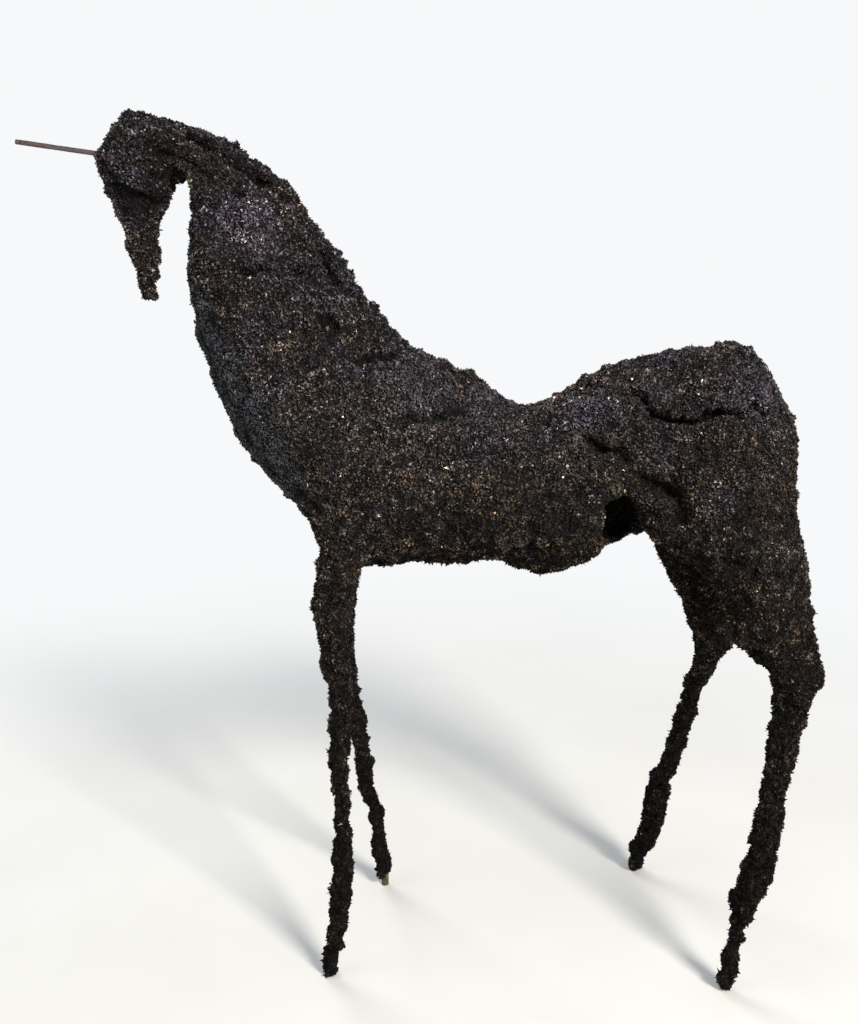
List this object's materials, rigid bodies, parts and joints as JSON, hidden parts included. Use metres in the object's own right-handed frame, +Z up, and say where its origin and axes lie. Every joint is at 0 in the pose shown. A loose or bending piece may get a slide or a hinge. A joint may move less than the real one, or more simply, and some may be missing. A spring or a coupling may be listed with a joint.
{
  "type": "unicorn sculpture",
  "caption": "Free-standing unicorn statue with an arched neck and lowered muzzle, crusted all over in dark metal chips, with a plain bar for its horn.",
  "frame": {"origin": "on the floor, under the middle of the whole statue's box", "axes": "+Z up, -X the way the head and horn point, +X towards the tail end, +Y the animal's right side"},
  "size_m": [1.6374, 0.5146, 1.8165],
  "materials": {
    "chip_crust": "rough crust of dark iron chips in a dark binder, brown-black with a few bright and rusty facets",
    "horn_steel": "round bar with brown rust and a dull grey sheen",
    "bar_steel": "bare round bar with olive-brown rust"
  },
  "bodies": {
    "root": {"body": "chip_crust", "horn": "horn_steel", "right_fore_foot_bar": "bar_steel"}
  },
  "joints": []
}
